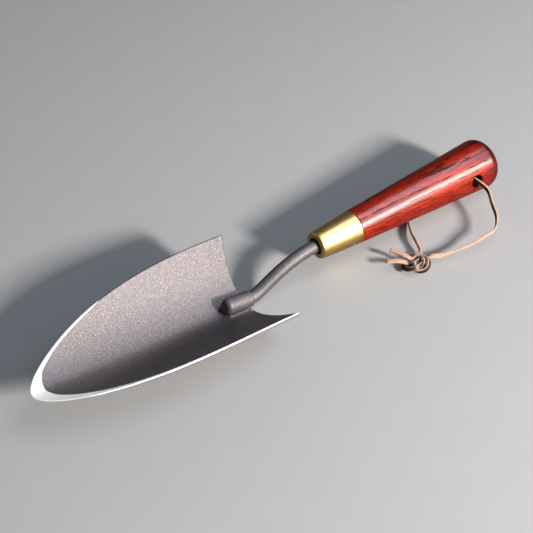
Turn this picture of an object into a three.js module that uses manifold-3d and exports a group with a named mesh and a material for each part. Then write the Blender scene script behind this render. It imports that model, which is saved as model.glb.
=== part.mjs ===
// A hand trowel: a dished steel blade, a bent steel neck whose tang runs up inside a turned hardwood
// handle, a brass ferrule, and a leather hanging thong. It lies hollow side up, as it rests on a table.
// Millimetres. +X runs along the handle's axis from butt to blade, +Z is up, +Y is the thong's side.
// The origin is the centre of the small flat on the handle's butt.

import * as THREE from "three";
import { mergeVertices } from "three/addons/utils/BufferGeometryUtils.js";
import Module from "manifold-3d";

const wasm = await Module();
wasm.setup();

// Clearances between neighbouring solids.
const TURNED_GAP = 0.2; // between pieces turned on the same axis
const CUT_GAP = 0.3; // where one piece is cut to fit another

// Handle: a straight-sided cone with a domed butt, and a tenon at the front for the ferrule.
const HANDLE_LENGTH = 109.4;
const BUTT_RADIUS = 16;
const BUTT_FLAT_RADIUS = 6;
const DOME_LENGTH = 8.1;
const SEAM_RADIUS = 10.4;
const TENON_LENGTH = 23;
const TANG_BORE_RADIUS = 5.2;

// Ferrule: a thin tapered collar whose front lip is rolled inwards.
const FERRULE_LENGTH = 28.6;
const FERRULE_WALL = 0.9;
const MOUTH_RADIUS = 8.3;
const LIP_ROUND = 1.4;
const LIP_RADIUS = 5.3;

// Neck: a round rod, straight in the handle, then bent down and forward into the socket.
const ROD_RADIUS = 3.8;
const TANG_START = 52;
const TANG_TIP_RADIUS = 2.4;
const TANG_TAPER_END = 92;
const FRONT_BEND = 26; // how firmly the neck leaves the ferrule along the handle's axis
const REAR_BEND = 8.6; // how firmly it turns into the socket
const TAPER_OVERLAP = 1; // the tang's taper runs this far into the straight rod
const TAPER_STEP = 0.1; // and ends this much inside it

// Blade: a leaf-shaped sheet. Heights are measured from the handle's axis, at tip, middle and ears.
const EARS_X = 180.9;
const TIP_X = 323.3;
const HEEL_X = 188.7; // middle of the hollow back edge
const BLADE_WIDTH = 70.8;
const OUTLINE_FULLNESS = 3.1;
const FLANK_CURVE = 0.764;
const NOSE_WIDTH = 7.5; // rounds the tip off
const NOSE_LENGTH = 9.2; // how far behind the tip that reaches
const RIM_HEIGHTS = [5.8, 11.5, 5.8];
const KEEL_HEIGHTS = [5.8, -8.8, -17.6];
const DISH_POWER = 1.6; // 2 is a round dish, 1 a plain V
const DISH_SOFTNESS = 0.12; // rounds the bottom of the dish
const HEEL_CURVE = 2.5;
const SHEET = 1.8;
const GROUND_EDGE = 0.6; // thickness of the sheet at its sharpened rim
const GROUND_WIDTH_TIP = 6;
const GROUND_WIDTH_EARS = 1.8;
const GROUND_FADE = 0.15; // how soon the sharpened band narrows behind the tip
const GROUND_SHARE = 0.4; // the most of the half width that the band takes
const ROW_CROWDING = 1.7; // above 1, the sheet's rows crowd towards the tip
const POINT_SHARE = 0.004; // the tip's last row is this far from the very point
const BLADE_ROLL = THREE.MathUtils.degToRad(-6.9); // the blade leans towards the thong
const BLADE_YAW = THREE.MathUtils.degToRad(1.6);
const BLADE_SHIFT = 3.1;

// Socket: a short round boss that stands in the blade's hollow, cut to the sheet under it.
const SOCKET_RADIUS = 4.85;
const SOCKET_REAR = [186.6, -12.4]; // distance along the blade and height above the handle's axis
const SOCKET_FRONT = [204.2, -8.6];
const SOCKET_DEPTH = 13; // of its bore
const SOCKET_ROUND = 2.4;
const WELD_RADIUS = 2.1;
const WELD_REAR = 1.5; // from the socket's rear face to the weld
const WELD_FRONT = 2.5; // from the weld to the socket's front face
const WELD_OVERLAP = 0.7; // share of the weld bead's radius that lies inside the socket's outline

// Ferrule pin.
const PIN_X = 115.9;
const PIN_ANGLE = THREE.MathUtils.degToRad(-27); // round the handle's axis, up from +Y
const PIN_RADIUS = 0.9;
const PIN_LENGTH = 4.5;
const PIN_PROUD = 0.1;

// Thong: a lace through a cross hole, with an overhand knot that joins its two ends.
const HOLE_X = 22;
const HOLE_TILT = THREE.MathUtils.degToRad(8);
const HOLE_RADIUS = 3.9;
const LACE_RADIUS = 1.1;
const TAIL_RADIUS = 1.2;
const KNOT_CENTRE = [90.9, 36, -12.2];
const KNOT_HALF_SIZE = [8.4, 7.2, 3.6];
const KNOT_TURN = THREE.MathUtils.degToRad(-28);

const CUT_REACH = 5; // how far a cutting shape runs past the surface it opens
const TURNED_SIDES = 40;
const SHEET_ROWS = 22;
const SHEET_COLUMNS = 20;

const FERRULE_FRONT = HANDLE_LENGTH + FERRULE_LENGTH;
const BLADE_LENGTH = TIP_X - EARS_X;

function toSolid(geometry) {
  geometry.deleteAttribute("normal");
  geometry.deleteAttribute("uv");
  const merged = mergeVertices(geometry, 1e-4);
  return new wasm.Manifold(
    new wasm.Mesh({
      numProp: 3,
      vertProperties: merged.attributes.position.array,
      triVerts: new Uint32Array(merged.index.array),
    }),
  );
}

function toGeometry(solid) {
  const { vertProperties, triVerts } = solid.getMesh();
  const geometry = new THREE.BufferGeometry();
  geometry.setAttribute("position", new THREE.BufferAttribute(vertProperties, 3));
  geometry.setIndex(new THREE.BufferAttribute(triVerts, 1));
  geometry.computeVertexNormals();
  return geometry;
}

function piece(name, geometry, material) {
  const mesh = new THREE.Mesh(geometry, material);
  mesh.name = name;
  return mesh;
}

// A body turned about the X axis from [x, radius] points that run from its rear to its front.
function turned(profile, sides = TURNED_SIDES) {
  const points = profile.map(([x, radius]) => new THREE.Vector2(radius, x));
  return new THREE.LatheGeometry(points, sides).rotateZ(-Math.PI / 2);
}

// A round bar from one point to another.
function bar(from, to, radius, sides = 16) {
  const along = new THREE.Vector3().subVectors(to, from);
  const turn = new THREE.Quaternion().setFromUnitVectors(
    new THREE.Vector3(0, 1, 0),
    along.clone().normalize(),
  );
  const middle = new THREE.Vector3().addVectors(from, to).multiplyScalar(0.5);
  return new THREE.CylinderGeometry(radius, radius, along.length(), sides)
    .applyQuaternion(turn)
    .translate(middle.x, middle.y, middle.z);
}

// A round cord along a curve.
function cord(curve, radius, steps, sides = 8) {
  const section = new THREE.Shape().absarc(0, 0, radius, 0, 2 * Math.PI);
  return new THREE.ExtrudeGeometry(section, {
    steps,
    curveSegments: sides / 2, // each half of the section's circle
    extrudePath: curve,
    bevelEnabled: false,
  });
}

// Points of a quarter ellipse from [x0, r0] to [x1, r1] that leaves radially and arrives along the axis.
function quarter([x0, r0], [x1, r1], steps) {
  return Array.from({ length: steps + 1 }, (_, i) => {
    const angle = ((i / steps) * Math.PI) / 2;
    return [x0 + (x1 - x0) * (1 - Math.cos(angle)), r0 + (r1 - r0) * Math.sin(angle)];
  });
}

// The parabola through three heights at 0, 1/2 and 1.
function parabola([start, middle, end]) {
  return (t) => start * (1 - t) * (1 - 2 * t) + 4 * middle * t * (1 - t) + end * t * (2 * t - 1);
}

const steel = new THREE.MeshStandardMaterial({ color: 0x6d625c, roughness: 0.5, metalness: 0.7 });
const brass = new THREE.MeshStandardMaterial({ color: 0xd0a040, roughness: 0.3, metalness: 1 });
const wood = new THREE.MeshStandardMaterial({ color: 0x8c1f10, roughness: 0.25, metalness: 0 });
const resin = new THREE.MeshStandardMaterial({ color: 0x1c1714, roughness: 0.6, metalness: 0 });
const leather = new THREE.MeshStandardMaterial({ color: 0x8a5a3c, roughness: 0.75, metalness: 0 });

// ---- Blade, in the blade's own frame, which a group leans and turns ----

// Half the blade's width, at t from 0 at the tip to 1 at the ears.
function halfWidth(t) {
  const flank = (BLADE_WIDTH / 2) * Math.pow(1 - Math.pow(1 - t, OUTLINE_FULLNESS), FLANK_CURVE);
  const behind = BLADE_LENGTH * t;
  return Math.sqrt(flank * flank + NOSE_WIDTH * behind * Math.exp(-behind / NOSE_LENGTH));
}

// Share of the way up from keel to rim, 0 in the middle and 1 at the rim.
function dishRise(across) {
  const soft = DISH_SOFTNESS * DISH_SOFTNESS;
  const curve = (square) => Math.pow(square + soft, DISH_POWER / 2);
  return (curve(across * across) - curve(0)) / (curve(1) - curve(0));
}

const groundWidth = (t) =>
  GROUND_WIDTH_EARS + (GROUND_WIDTH_TIP - GROUND_WIDTH_EARS) * Math.exp(-t / GROUND_FADE);
const rimHeight = parabola(RIM_HEIGHTS);
const keelHeight = parabola(KEEL_HEIGHTS);

// A point of the sheet's middle surface: along is 0 at the tip and 1 at the ears, across is -1 to 1.
function sheetPoint(along, across) {
  const x = TIP_X - BLADE_LENGTH * along;
  const rise = dishRise(across);
  const z = keelHeight(along) + (rimHeight(along) - keelHeight(along)) * rise;
  return new THREE.Vector3(x, across * halfWidth(along), z);
}

function sheetNormal(along, across) {
  const step = 1e-3;
  const alongStep = sheetPoint(along - step, across).sub(sheetPoint(along + step, across));
  const acrossStep = sheetPoint(along, across + step).sub(sheetPoint(along, across - step));
  return alongStep.cross(acrossStep).normalize();
}

// Where the hollow back edge lies, as an along value, at each place across.
function heelAlong(across) {
  const x = EARS_X + (HEEL_X - EARS_X) * (1 - Math.pow(Math.abs(across), HEEL_CURVE));
  return (TIP_X - x) / BLADE_LENGTH;
}

// The closed body between a lower and an upper offset of the sheet, thinner along a band at the rim.
function sheetBody(below, above, rimAbove) {
  const inner = 1 - 1e-3; // normals are taken just inside the edges
  const rows = SHEET_ROWS;
  const columns = SHEET_COLUMNS;
  const grids = [[], []];
  for (let i = 0; i <= rows; i++) {
    const reach = POINT_SHARE + (1 - POINT_SHARE) * Math.pow(i / rows, ROW_CROWDING);
    for (let j = 0; j <= columns; j++) {
      const even = (2 * j) / columns - 1;
      const band = Math.min(GROUND_SHARE, groundWidth(reach) / halfWidth(reach));
      const across = Math.abs(even) === 1 ? even : (even / (1 - 2 / columns)) * (1 - band);
      const along = reach * heelAlong(across);
      const normal = sheetNormal(Math.min(along, inner), THREE.MathUtils.clamp(across, -inner, inner));
      const lift = Math.abs(even) === 1 ? rimAbove : above;
      grids[0].push(sheetPoint(along, across).addScaledVector(normal, below));
      grids[1].push(sheetPoint(along, across).addScaledVector(normal, lift));
    }
  }
  const size = grids[0].length;
  const row = columns + 1;
  const index = [];
  const quad = (a, b, c, d) => index.push(a, b, c, a, c, d);
  for (let i = 0; i < rows; i++) {
    for (let j = 0; j < columns; j++) {
      const a = i * row + j;
      quad(a, a + row, a + row + 1, a + 1);
      quad(size + a, size + a + 1, size + a + row + 1, size + a + row);
    }
    const near = i * row + columns;
    const far = i * row;
    quad(near, near + row, size + near + row, size + near);
    quad(far + row, far, size + far, size + far + row);
  }
  for (let j = 0; j < columns; j++) {
    const heel = rows * row + j;
    quad(j, j + 1, size + j + 1, size + j);
    quad(heel + 1, heel, size + heel, size + heel + 1);
  }
  const geometry = new THREE.BufferGeometry();
  const positions = grids.flat().flatMap((p) => p.toArray());
  geometry.setAttribute("position", new THREE.Float32BufferAttribute(positions, 3));
  geometry.setIndex(index);
  return geometry;
}

const sheet = toSolid(sheetBody(-SHEET / 2, SHEET / 2, GROUND_EDGE - SHEET / 2));
// Everything below the sheet's upper face, for cutting the socket and welds to it.
const underSheet = toSolid(
  sheetBody(-4 * SOCKET_RADIUS, SHEET / 2 + CUT_GAP, SHEET / 2 + CUT_GAP),
);

const socketRear = new THREE.Vector3(SOCKET_REAR[0], 0, SOCKET_REAR[1]);
const socketFront = new THREE.Vector3(SOCKET_FRONT[0], 0, SOCKET_FRONT[1]);
const socketAxis = new THREE.Vector3().subVectors(socketFront, socketRear);
const socketLength = socketAxis.length();
socketAxis.normalize();
const socketTurn = new THREE.Quaternion().setFromUnitVectors(new THREE.Vector3(1, 0, 0), socketAxis);

function alongSocket(geometry) {
  return geometry.applyQuaternion(socketTurn).translate(...socketRear.toArray());
}

function socketSolid() {
  const bore = ROD_RADIUS + CUT_GAP;
  const outside = quarter([0, SOCKET_RADIUS - SOCKET_ROUND], [SOCKET_ROUND, SOCKET_RADIUS], 4);
  const rounded = outside.map(([x, radius]) => [socketLength - x, radius]).reverse();
  const profile = [[SOCKET_DEPTH, 0], [SOCKET_DEPTH, bore], [0, bore], [0, SOCKET_RADIUS], ...rounded,
    [socketLength, 0]];
  return toSolid(alongSocket(turned(profile, 32))).subtract(underSheet);
}

// A weld fillet on one side of the socket, cut to the sheet and to the socket.
function weldSolid(side) {
  const offset = SOCKET_RADIUS + (1 - WELD_OVERLAP) * WELD_RADIUS;
  const ends = [WELD_REAR, socketLength - WELD_FRONT].map((distance) => {
    const at = socketRear.clone().addScaledVector(socketAxis, distance);
    const along = (TIP_X - at.x) / BLADE_LENGTH;
    return sheetPoint(along, (side * offset) / halfWidth(along)).add(new THREE.Vector3(0, 0, WELD_RADIUS));
  });
  const bead = toSolid(bar(ends[0], ends[1], WELD_RADIUS));
  const radius = SOCKET_RADIUS + CUT_GAP;
  const end = socketLength + CUT_REACH;
  const room = turned([[-CUT_REACH, 0], [-CUT_REACH, radius], [end, radius], [end, 0]], 32);
  return bead.subtract(underSheet).subtract(toSolid(alongSocket(room)));
}

const bladeGroup = new THREE.Group();
bladeGroup.rotation.set(BLADE_ROLL, 0, BLADE_YAW, "ZXY");
// The blade turns about the middle of its ears, so the group is shifted to keep that point in place.
bladeGroup.position.set(0, BLADE_SHIFT - EARS_X * Math.sin(BLADE_YAW), 0);
bladeGroup.add(
  piece("blade", toGeometry(sheet), steel),
  piece("neck_socket", toGeometry(socketSolid()), steel),
  piece("socket_weld_near", toGeometry(weldSolid(1)), steel),
  piece("socket_weld_far", toGeometry(weldSolid(-1)), steel),
);
bladeGroup.updateMatrixWorld(true);

// ---- Neck, with its tang ----

function neckSolid() {
  const toRow = (v) => bladeGroup.localToWorld(v.clone());
  const rear = toRow(socketRear);
  const inSocket = toRow(socketRear.clone().addScaledVector(socketAxis, SOCKET_DEPTH - CUT_GAP));
  const direction = new THREE.Vector3().subVectors(inSocket, rear).normalize();
  const bendStart = new THREE.Vector3(FERRULE_FRONT, 0, 0);
  const path = new THREE.CurvePath();
  path.add(new THREE.LineCurve3(new THREE.Vector3(TANG_TAPER_END, 0, 0), bendStart));
  path.add(
    new THREE.CubicBezierCurve3(
      bendStart,
      new THREE.Vector3(FERRULE_FRONT + FRONT_BEND, 0, 0),
      rear.clone().addScaledVector(direction, -REAR_BEND),
      rear,
    ),
  );
  path.add(new THREE.LineCurve3(rear, inSocket));
  const taper = turned([
    [TANG_START, 0],
    [TANG_START, TANG_TIP_RADIUS],
    [TANG_TAPER_END + TAPER_OVERLAP, ROD_RADIUS - TAPER_STEP],
    [TANG_TAPER_END + TAPER_OVERLAP, 0],
  ], 16);
  return toSolid(cord(path, ROD_RADIUS, 36, 20)).add(toSolid(taper));
}

// ---- Ferrule, its pin, the handle and the resin round the tang ----

const pinDirection = new THREE.Vector3(0, Math.cos(PIN_ANGLE), Math.sin(PIN_ANGLE));
const ferruleRadius = (x) =>
  SEAM_RADIUS + ((MOUTH_RADIUS - SEAM_RADIUS) * (x - HANDLE_LENGTH)) / FERRULE_LENGTH;

function pinBar(radius, inner, outer) {
  const at = (distance) => new THREE.Vector3(PIN_X, 0, 0).addScaledVector(pinDirection, distance);
  return toSolid(bar(at(inner), at(outer), radius));
}

const pinOuter = ferruleRadius(PIN_X) + PIN_PROUD;
const pinInner = pinOuter - PIN_LENGTH;
const pinHole = pinBar(PIN_RADIUS + TURNED_GAP, pinInner - TURNED_GAP, pinOuter + CUT_REACH);

function ferruleSolid() {
  const rear = HANDLE_LENGTH + TURNED_GAP;
  const lipStart = FERRULE_FRONT - LIP_ROUND;
  const lip = quarter([0, MOUTH_RADIUS - LIP_ROUND], [LIP_ROUND, MOUTH_RADIUS], 5);
  const rounded = lip.map(([x, radius]) => [FERRULE_FRONT - x, radius]).reverse();
  const profile = [
    [rear, SEAM_RADIUS - FERRULE_WALL],
    [rear, SEAM_RADIUS],
    ...rounded,
    [FERRULE_FRONT, LIP_RADIUS],
    [FERRULE_FRONT - FERRULE_WALL, LIP_RADIUS],
    [lipStart, MOUTH_RADIUS - FERRULE_WALL],
    [rear, SEAM_RADIUS - FERRULE_WALL],
  ];
  return toSolid(turned(profile)).subtract(pinHole);
}

function handleSolid() {
  const tenonRear = SEAM_RADIUS - FERRULE_WALL - TURNED_GAP;
  const tenonFront = HANDLE_LENGTH + TENON_LENGTH;
  const tenonTip = ferruleRadius(tenonFront) - FERRULE_WALL - TURNED_GAP;
  const profile = [
    [0, 0],
    ...quarter([0, BUTT_FLAT_RADIUS], [DOME_LENGTH, BUTT_RADIUS], 10),
    [HANDLE_LENGTH, SEAM_RADIUS],
    [HANDLE_LENGTH, tenonRear],
    [tenonFront, tenonTip],
    [tenonFront, TANG_BORE_RADIUS],
    [TANG_START - 1, TANG_BORE_RADIUS],
    [TANG_START - 1, 0],
  ];
  const across = new THREE.Vector3(0, Math.cos(HOLE_TILT), Math.sin(HOLE_TILT));
  const holeEnd = (side) =>
    new THREE.Vector3(HOLE_X, 0, 0).addScaledVector(across, side * (BUTT_RADIUS + CUT_REACH));
  const hole = toSolid(bar(holeEnd(-1), holeEnd(1), HOLE_RADIUS, 24));
  return toSolid(turned(profile)).subtract(hole).subtract(pinHole);
}

function beddingGeometry() {
  const front = FERRULE_FRONT - 2 * FERRULE_WALL;
  const rear = TANG_TAPER_END + 2;
  const inner = ROD_RADIUS + TURNED_GAP;
  const outer = TANG_BORE_RADIUS - TURNED_GAP;
  return turned([[rear, inner], [rear, outer], [front, outer], [front, inner], [rear, inner]], 32);
}

// ---- Thong ----

// The lace's middle line: from the knot round the near side, through the cross hole, and back under
// the handle to the knot.
const LOOP_POINTS = [
  [81.5, 36.6, -12.5],
  [75.6, 39.9, -12.2],
  [66.4, 43.2, -11.1],
  [57, 45.9, -9.5],
  [46.2, 47.2, -7.5],
  [38.5, 47.2, -6.5],
  [30.2, 40.9, -5.5],
  [23.8, 30.2, -3.8],
  [20.4, 22.8, -0.6],
  [22, 16.8, 2.3],
  [22, 0, 0],
  [22, -16.8, -2.3],
  [25.4, -21, -5.6],
  [33.5, -21.2, -10],
  [45, -15.4, -13.8],
  [57, -5.8, -14.8],
  [66, 2.6, -14.7],
  [74.3, 14.6, -13.2],
  [78, 22.8, -12.6],
  [83, 30.6, -12.8],
];
const TAILS = [
  [[91, 32, -11], [94.2, 27, -10], [97.4, 20.8, -10.2]],
  [[95, 33, -11.5], [99.6, 30, -10.7], [104.9, 26.3, -11]],
];
const throughPoints = (points) =>
  new THREE.CatmullRomCurve3(points.map((p) => new THREE.Vector3(...p)));

// The knot's body, grown by a margin on all sides.
function knotBody(margin) {
  const halfSize = KNOT_HALF_SIZE.map((half) => half + margin);
  const ball = new THREE.SphereGeometry(1, 16, 10).scale(...halfSize).rotateZ(KNOT_TURN);
  return toSolid(ball.translate(...KNOT_CENTRE));
}

function knotSolid() {
  let knot = knotBody(0);
  for (const tail of TAILS) knot = knot.add(toSolid(cord(throughPoints(tail), TAIL_RADIUS, 6)));
  return knot;
}

function loopSolid() {
  return toSolid(cord(throughPoints(LOOP_POINTS), LACE_RADIUS, 60)).subtract(knotBody(CUT_GAP));
}

const trowel = new THREE.Group();
trowel.add(
  bladeGroup,
  piece("neck", toGeometry(neckSolid()), steel),
  piece("ferrule", toGeometry(ferruleSolid()), brass),
  piece("ferrule_pin", toGeometry(pinBar(PIN_RADIUS, pinInner, pinOuter)), brass),
  piece("tang_bedding", beddingGeometry(), resin),
  piece("handle", toGeometry(handleSolid()), wood),
  piece("thong_loop", toGeometry(loopSolid()), leather),
  piece("thong_knot", toGeometry(knotSolid()), leather),
);

export default trowel;
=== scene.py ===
"""Looks of a hand trowel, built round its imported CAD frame.

Shapes are worked out in millimetres in the row frame (+X along the handle's axis from butt to blade, +Z up,
+Y the side the thong lies on) and turned into metres when a mesh is made.
"""

import math

import bpy
import numpy as np
from mathutils import Matrix, Vector, noise


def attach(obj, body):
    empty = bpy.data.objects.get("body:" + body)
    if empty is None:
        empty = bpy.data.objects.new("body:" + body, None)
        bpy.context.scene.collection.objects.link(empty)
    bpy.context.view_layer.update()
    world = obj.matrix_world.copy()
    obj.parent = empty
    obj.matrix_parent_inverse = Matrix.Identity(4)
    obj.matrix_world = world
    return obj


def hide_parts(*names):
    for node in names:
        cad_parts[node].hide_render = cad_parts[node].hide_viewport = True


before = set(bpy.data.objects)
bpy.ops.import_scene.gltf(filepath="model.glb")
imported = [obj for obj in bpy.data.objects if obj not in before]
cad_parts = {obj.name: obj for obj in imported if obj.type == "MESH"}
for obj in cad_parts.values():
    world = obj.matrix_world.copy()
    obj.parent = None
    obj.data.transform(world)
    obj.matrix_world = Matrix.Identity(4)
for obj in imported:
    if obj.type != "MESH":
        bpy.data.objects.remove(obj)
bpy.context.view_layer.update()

MM = 0.001

# ---- Driving dimensions, in millimetres, the same as the CAD's ----

HANDLE_LENGTH = 109.4
BUTT_RADIUS = 16.0
BUTT_FLAT_RADIUS = 6.0
# The rings that make the butt's flat keep this far from its centre and from its rim.
BUTT_FLAT_INSET = 0.6
DOME_LENGTH = 8.1
SEAM_RADIUS = 10.4
SEAM_ROUND = 0.35
TENON_LENGTH = 23.0
TANG_BORE_RADIUS = 5.2
WOOD_CLEARANCE = 0.15

FERRULE_LENGTH = 28.6
FERRULE_WALL = 0.9
MOUTH_RADIUS = 8.3
LIP_ROUND = 1.6
LIP_RADIUS = 5.2
FERRULE_EDGE = 0.25
FERRULE_FRONT = HANDLE_LENGTH + FERRULE_LENGTH

ROD_RADIUS = 3.8
TANG_START = 52.0
TANG_TIP_RADIUS = 2.4
TANG_TAPER_END = 92.0
FRONT_BEND = 26.0
REAR_BEND = 8.6
BEND_START_GAP = 1.0
TAPER_END_GAP = 2.0

EARS_X = 180.9
TIP_X = 323.3
HEEL_X = 188.7
BLADE_WIDTH = 70.8
OUTLINE_FULLNESS = 3.1
FLANK_CURVE = 0.764
NOSE_WIDTH = 7.5
NOSE_LENGTH = 9.2
RIM_HEIGHTS = (5.8, 11.5, 5.8)
KEEL_HEIGHTS = (5.8, -8.8, -17.6)
DISH_POWER = 1.6
DISH_SOFTNESS = 0.12
HEEL_CURVE = 2.5
SHEET = 1.8
GRIND_DEPTH = 1.1
UPPER_GRIND = 0.8
LOWER_GRIND = 0.35
BLADE_ROLL = math.radians(-6.9)
BLADE_YAW = math.radians(1.6)
BLADE_SHIFT = 3.1
EDGE_ROUND = 0.3
HEEL_ROUND = 0.45
# The ground band inside the rim on each side: share of the blade's length behind the tip, and width.
# Below zero, the coat comes back over the edge.
FAR_GROUND = ((0.05, 3.5), (0.08, 2.1), (0.145, 1.2), (0.34, 0.7), (0.42, -0.1), (1, -0.3))
NEAR_GROUND = ((0.05, 5.2), (0.08, 4.0), (0.12, 2.9), (0.21, 1.7), (0.35, 0.9), (0.6, 0.45), (1, 0.15))
# The same on the underside of the near edge, where the coat soon comes back.
NEAR_UNDER = ((0.12, 0.4), (0.35, -0.5))
# All is ground about this far behind the tip, and this softly it runs into the bands along the flanks.
GROUND_NOSE = 7.0
GROUND_NOSE_ROUND = 5.0
# The grind has its full depth where the band is at least this wide.
FULL_GRIND_WIDTH = 2.4

SOCKET_RADIUS = 4.85
SOCKET_REAR = (186.6, -12.4)
SOCKET_FRONT = (204.2, -8.6)
SOCKET_DEPTH = 13.0
SOCKET_FRONT_ROUND = 2.6
SOCKET_REAR_ROUND = 0.5
FILLET = 3.6
BOSS_GRID = 0.32
BOSS_LOW = (182.5, -12, -21)
BOSS_HIGH = (209.5, 12, -1)
# Small beads of weld beside the boss: centre in the blade's frame, and radius.
WELD_BEADS = (
    ((189.4, 5.7, -14.7), 0.9),
    ((194.6, -5.6, -13.4), 0.8),
)

PIN_X = 115.9
PIN_ANGLE = math.radians(-27)
PIN_RADIUS = 0.95
PIN_SHANK_RADIUS = 0.9

HOLE_X = 22.0
HOLE_TILT = math.radians(8)
HOLE_RADIUS = 3.9
HOLE_FLARE = 1.3

LACE_WIDTH = 3.0
LACE_THICKNESS = 1.2
LACE_CORNER = 0.32

FLAKES_PER_METRE = 3600
RINGS_PER_METRE = 530.0


# ---- Mesh helpers ----


def array(points):
    return np.array(points, float)


def unit(vectors):
    vectors = array(vectors)
    return vectors / np.linalg.norm(vectors, axis=-1, keepdims=True)


def make_piece(name, points, faces, materials, face_slots=None, values=None):
    """A smooth-shaded mesh object from points in millimetres. values holds point attributes by name."""
    mesh = bpy.data.meshes.new(name)
    mesh.from_pydata((array(points) * MM).tolist(), [], faces)
    for material in materials:
        mesh.materials.append(material)
    if face_slots is not None:
        mesh.polygons.foreach_set("material_index", face_slots)
    for key, data in (values or {}).items():
        attribute = mesh.attributes.new(key, "FLOAT", "POINT")
        attribute.data.foreach_set("value", np.asarray(data, np.float32).ravel())
    mesh.shade_smooth()
    mesh.validate()
    piece = bpy.data.objects.new(name, mesh)
    bpy.context.scene.collection.objects.link(piece)
    return piece


def put(piece, body, slot, *replaced):
    """Joins a finished piece to the frame."""
    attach(piece, body)
    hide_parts(*replaced)


def ring_faces(rings, size, closed=False):
    """Quads between neighbouring rings of points."""
    faces = []
    for i in range(rings if closed else rings - 1):
        for j in range(size):
            a = i * size + j
            b = i * size + (j + 1) % size
            step = size if i < rings - 1 else -size * (rings - 1)
            faces.append((a, b, b + step, a + step))
    return faces


def lathe(profile, sides):
    """Points and faces of (x, radius) points turned about the X axis. A closed profile makes a ring."""
    closed = profile[0] == profile[-1]
    rows = profile[:-1] if closed else profile
    angles = np.linspace(0, 2 * math.pi, sides, endpoint=False)
    around = np.stack([np.cos(angles), np.sin(angles)], axis=1)
    points = [(x, radius * y, radius * z) for x, radius in rows for y, z in around]
    faces = ring_faces(len(rows), sides, closed)
    if not closed:
        faces.append(tuple(reversed(range(sides))))
        faces.append(tuple(range((len(rows) - 1) * sides, len(rows) * sides)))
    return points, faces


def quarter(start, end, steps):
    """A quarter ellipse that leaves start radially and reaches end along the axis."""
    points = []
    for i in range(steps + 1):
        angle = i / steps * math.pi / 2
        x = start[0] + (end[0] - start[0]) * (1 - math.cos(angle))
        radius = start[1] + (end[1] - start[1]) * math.sin(angle)
        points.append((x, radius))
    return points


def straight(start, end, steps):
    return [
        tuple(s + (e - s) * i / steps for s, e in zip(start, end)) for i in range(steps + 1)
    ]


def smooth_path(points, spacing):
    """Centripetal Catmull-Rom curve through rows of numbers, resampled at even spacing of its first three."""
    p = array(points)
    p = np.vstack([2 * p[0] - p[1], p, 2 * p[-1] - p[-2]])
    knots = np.concatenate([[0], np.cumsum(np.sqrt(np.linalg.norm(np.diff(p[:, :3], axis=0), axis=1)))])
    samples = []
    for i in range(1, len(p) - 2):
        t0, t1, t2, t3 = knots[i - 1 : i + 3]
        for t in np.linspace(t1, t2, 24, endpoint=False):
            a1 = (t1 - t) / (t1 - t0) * p[i - 1] + (t - t0) / (t1 - t0) * p[i]
            a2 = (t2 - t) / (t2 - t1) * p[i] + (t - t1) / (t2 - t1) * p[i + 1]
            a3 = (t3 - t) / (t3 - t2) * p[i + 1] + (t - t2) / (t3 - t2) * p[i + 2]
            b1 = (t2 - t) / (t2 - t0) * a1 + (t - t0) / (t2 - t0) * a2
            b2 = (t3 - t) / (t3 - t1) * a2 + (t - t1) / (t3 - t1) * a3
            samples.append((t2 - t) / (t2 - t1) * b1 + (t - t1) / (t2 - t1) * b2)
    samples = array(samples + [p[-2]])
    run = np.concatenate([[0], np.cumsum(np.linalg.norm(np.diff(samples[:, :3], axis=0), axis=1))])
    count = max(2, int(round(run[-1] / spacing)) + 1)
    even = np.linspace(0, run[-1], count)
    return np.stack([np.interp(even, run, column) for column in samples.T], axis=1), even


def tangents(path):
    return unit(np.gradient(path, axis=0))


# ---- Materials ----


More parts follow.
